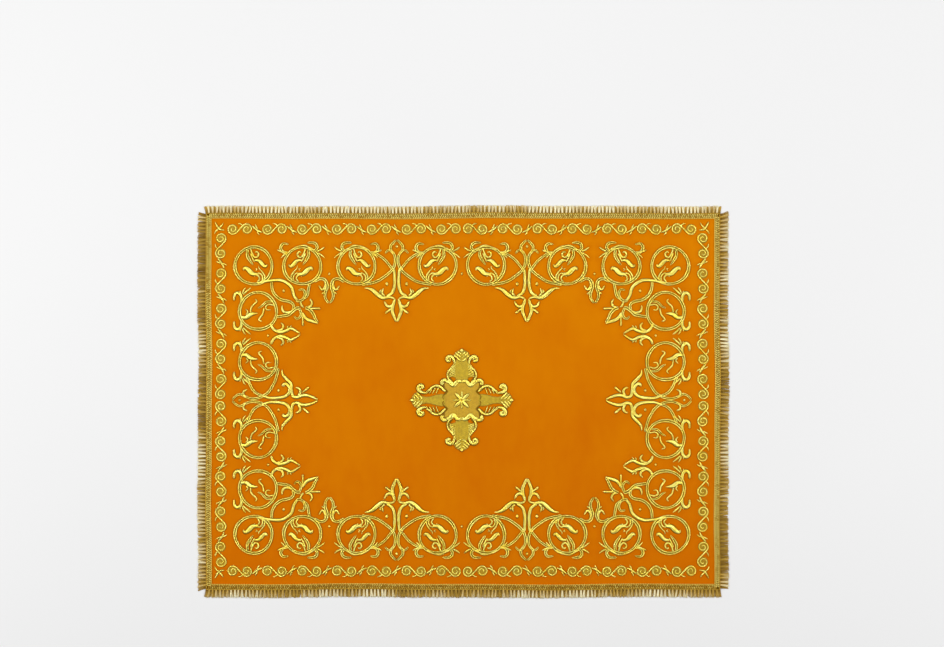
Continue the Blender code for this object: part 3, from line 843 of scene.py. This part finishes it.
# The fringe: a braid heading of wavy cords, and looped strands hung from its outer side
trim = {
    "braidWide": 7.2,
    "chevron": 2.3,
    "stitchThick": 1.2,
    "edgeCord": 1.2,
    "pitch": 4.7,
    "threads": 5,
    "threadThick": 0.6,
    "lockRoot": 1.9,
    "lockTip": 3.7,
    "seed": 21,
}
sides = {
    # along, outwards, half the side, how far it is from the middle, how far its tips reach, its last strand,
    # and how pale the yarn of its strands and of its braid is made, which is painted light: each side paler
    # or darker as light falls on it
    "top": ((1, 0), (0, 1), 321.5, 233.6, 16.8, 5.6, 1.15, 1.45),
    "right": ((0, -1), (1, 0), 233.6, 321.5, 19.0, 3.8, 0.72, 1.65),
    "bottom": ((-1, 0), (0, -1), 321.5, 233.6, 18.0, 5.6, 0.85, 0.82),
    "left": ((0, 1), (-1, 0), 233.6, 321.5, 18.4, 3.8, 0.7, 1.5),
}


# A place beside one edge: s along it, out from the cloth that shows, z above the table
def onSide(side, s, out, z):
    along, outwards, half, away = sides[side][:4]
    wave = edgeWave(side, max(-1, min(1, s / (half + trim["braidWide"]))))
    spot = Vector(along) * s + Vector(outwards) * (away + out + wave)
    return Vector((spot.x, spot.y, z))


# A cord along a path, closed at both ends
def tube(bm, path, radius, tone, corners=4, flat=1.0):
    path = path[:1] + path + path[-1:]
    rows, (layer,) = wrapRows(bm, len(path), corners, ("tone",))
    last = len(path) - 1
    for k, place in enumerate(path):
        heading = (path[min(k + 1, last)] - path[max(k - 1, 0)]).normalized()
        side = Vector((0, 0, 1)).cross(heading).normalized()
        up = heading.cross(side)
        reach = radius(k / last) if callable(radius) else radius
        if k in (0, last):
            reach = 0.0
        for j, v in enumerate(rows[k]):
            turn = 2 * math.pi * (j % corners) / corners
            spot = place + side * (math.cos(turn) * reach) + up * (math.sin(turn) * reach * flat)
            v.co = spot * mm
            v[layer] = tone(k / last) if callable(tone) else tone


def sidePath(side, start, end, step, out, z):
    count = max(2, round((end - start) / step))
    places = [start + (end - start) * k / count for k in range(count + 1)]
    return [onSide(side, s, out(s), z(s)) for s in places]


# The heading: a flat band with rows of slanting stitches that meet in points, and a firm cord on each edge
def buildBraid(side, finish, draw):
    bm = bmesh.new()
    half = sides[side][2]
    wide = trim["braidWide"]
    band = sidePath(side, -half - wide, half + wide, 8.0, lambda s: wide / 2, lambda s: clothTop + 0.3)
    tube(bm, band, wide / 2 + 0.1, 0.0, corners=8, flat=0.12)
    count = round(2 * (half + wide / 2) / trim["chevron"])
    for k in range(count):
        s = (k - (count - 1) / 2) * trim["chevron"]
        for start, end in ((0.48, 0.14), (0.52, 0.86)):
            path = []
            for step in range(4):
                t = step / 3
                rise = 0.55 + 0.55 * math.sin(math.pi * t)
                path.append(onSide(side, s + 1.6 * t, wide * (start + (end - start) * t), clothTop + rise))
            # a random tone for each stitch, times the side's painted light
            tone = draw.uniform(0.35, 1.0) * sides[side][7]
            thick = trim["stitchThick"] / 2
            tube(bm, path, lambda t: thick * (0.65 + 0.35 * math.sin(math.pi * t)), tone, corners=5)
    for out, tone, reach in ((0.45, 0.62, half + 0.4), (wide - 0.4, 0.4, half + wide - 0.5)):
        path = sidePath(
            side, -reach, reach, 0.9, lambda s: out + 0.12 * math.sin(s * 1.7), lambda s: clothTop + 0.75
        )
        tube(bm, path, trim["edgeCord"] / 2, lambda t: tone + 0.15 * math.sin(t * reach * 4), corners=5)
    print("braid", side, len(bm.faces), "faces")
    return finishPiece("braid_" + side, bm, finish)


# Locks of fine threads, darker at the root and paler towards the tips, over a darker layer of the same yarn
# that fills the gaps between them: painted shade in the gaps
def buildFringe(side, finish, draw):
    bm = bmesh.new()
    half, away, tip, past, pale = sides[side][2:7]
    wide = trim["braidWide"]
    span = 2 * (half + past)
    count = round(span / trim["pitch"])
    for layer in ("under", "over"):
        over = layer == "over"
        threads = trim["threads"] + (0 if over else 1)
        for k in range(count + (not over)):
            middle = -span / 2 + (k + 0.5 * over) * span / count + draw.uniform(-0.5, 0.5) * over
            spread = draw.uniform(0.7, 1.15) if over else 1.0
            # paler and darker patches along a side stand for light catching the tousled strands: painted
            # light
            paintedLightPatch = noise.noise(Vector((middle / 46, away / 40, 1.7)))
            lean = 1.6 * noise.noise(Vector((middle / 15, away / 9, 7.1))) + draw.uniform(-1.1, 1.1)
            lean += 2.2 * (abs(middle) / (half + past)) ** 40 * (1 if middle > 0 else -1)
            ends = tip + 0.5 * noise.noise(Vector((middle / 30, away, 3.3)))
            shade = pale + 0.8 * paintedLightPatch + draw.uniform(-0.22, 0.22)
            for j in range(threads):
                own = shade + draw.uniform(-0.12, 0.12)
                slot = (j - (threads - 1) / 2) / threads
                rootS = middle + slot * (trim["lockRoot"] if over else trim["pitch"])
                tipS = middle + slot * trim["lockTip"] * spread + lean + draw.uniform(-0.4, 0.4)
                reach = ends + draw.uniform(-0.8, 0.2) - (0.0 if over else 0.9)
                high, low = (clothTop + 0.55, 0.8) if over else (0.9, 0.4)
                bow = 0.5 * math.cos(math.pi * slot) * over
                path = []
                for step in range(6):
                    t = step / 5
                    s = rootS + (tipS - rootS) * t**1.4
                    out = wide - 0.7 + (reach - wide + 0.7) * t
                    z = high + (low - high) * t**0.8 + bow * math.sin(math.pi * min(1, t * 1.3))
                    path.append(onSide(side, s, out, z))

                # the over threads darken towards the root; the under layer is the same yarn made dark,
                # painted shade in the gaps
                def tone(t):
                    return own * (0.52 + 0.56 * t) if over else pale * (0.1 + 0.4 * t)

                tube(bm, path, trim["threadThick"] / 2 * (1.0 if over else 1.3), tone)
    print("fringe", side, len(bm.faces), "faces")
    return finishPiece("fringe_" + side + "_strands", bm, finish)


def buildStage():
    bpy.ops.mesh.primitive_plane_add(size=9.0, location=(0, 0, -0.0002))
    floor = bpy.context.object
    floor.name = "paperFloor"
    finish, place, join = newFinish("paper", Roughness=0.9, Specular_IOR_Level=0.1)
    join(Base_Color=place.noise(1.5).blendColour(rgb(236, 236, 236), rgb(240, 240, 240)))
    floor.data.materials.append(finish)


softboxes = {
    # place, size, strength in watts, all aimed at the middle of the cloth
    "left": ((-1.8, 0.0, 1.45), (0.6, 0.9), 20.0),
    "right": ((1.8, -0.1, 1.4), (0.6, 0.9), 18.5),
    "top": ((0.0, 1.7, 1.5), (1.3, 0.5), 14.0),
    "overhead": ((-0.15, 0.1, 2.7), (0.8, 0.7), 20.0),
}


def lightScene():
    for name, (place, size, power) in softboxes.items():
        lamp = bpy.data.lights.new(name + "Softbox", "AREA")
        lamp.shape = "RECTANGLE"
        lamp.size, lamp.size_y = size
        lamp.energy = power
        holder = bpy.data.objects.new(name + "Softbox", lamp)
        holder.location = place
        holder.rotation_euler = (-Vector(place)).to_track_quat("-Z", "Y").to_euler()
        scene.collection.objects.link(holder)
    world = bpy.data.worlds.new("studio")
    world.use_nodes = True
    world.node_tree.nodes["Background"].inputs["Color"].default_value = (1, 1, 1, 1)
    world.node_tree.nodes["Background"].inputs["Strength"].default_value = 0.14
    scene.world = world
    scene.view_settings.view_transform = "Standard"


view = {
    "aim": (11.5, 99.5),  # the picture's middle, from the cloth's middle
    "height": 2200.0,
    "frameWide": 1208.3,
    "sensor": 36.0,
}


def placeCamera():
    lens = bpy.data.cameras.new("overhead")
    lens.sensor_width = view["sensor"]
    lens.lens = view["sensor"] * view["height"] / view["frameWide"]
    camera = bpy.data.objects.new("overhead", lens)
    camera.location = (view["aim"][0] * mm, view["aim"][1] * mm, view["height"] * mm)
    scene.collection.objects.link(camera)
    scene.camera = camera


print("camera and light")
placeCamera()
lightScene()
buildStage()

print("embroidery")
satin = goldFinish()
medallionFill = fillFinish("medallionGold", rgb(220, 178, 30), rgb(166, 124, 8), 260.0)
armFill = fillFinish("armGold", rgb(228, 194, 34), rgb(146, 116, 2), 260.0)
shadedCoilFill = fillFinish("shadedCoilGold", rgb(208, 168, 20), rgb(150, 108, 0), 260.0)
inside, feet, leaves = scrollLines()
needlework = [
    stitchGroup("ringStitches", satin, inside, ringPlan["row"] + ringPlan["side"]),
    stitchGroup("leafStitches", satin, leaves + feet),
    stitchGroup("borderStitches", satin, borderLines()),
]
needlework.append(buildCoilGround(shadedCoilFill))
needlework += buildCross(satin, medallionFill, armFill)
bm = bmesh.new()
for x, y, radius in spots:
    for flipX, flipY in quarters:
        dot(bm, x * flipX, y * flipY, radius)
for x, y, radius in middleSpots:
    for hand in (1, -1):
        dot(bm, x * hand, y * hand, radius)
needlework.append(finishPiece("dotStitches", bm, satin))

print("velvet")
velvet = buildVelvet(velvetFinish())
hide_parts("panel")

print("fringe")
draw = random.Random(trim["seed"])
braidGold = trimFinish("braidGold", trimLook["braid"], 0.42, 0.3)
strandGold = trimFinish("strandGold", trimLook["strands"], 0.5, 0.05)
edges = []
for side in sides:
    braid = buildBraid(side, braidGold, draw)
    strands = buildFringe(side, strandGold, draw)
    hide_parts("fringe_" + side)
    edges += [braid, strands]

needlework + edges
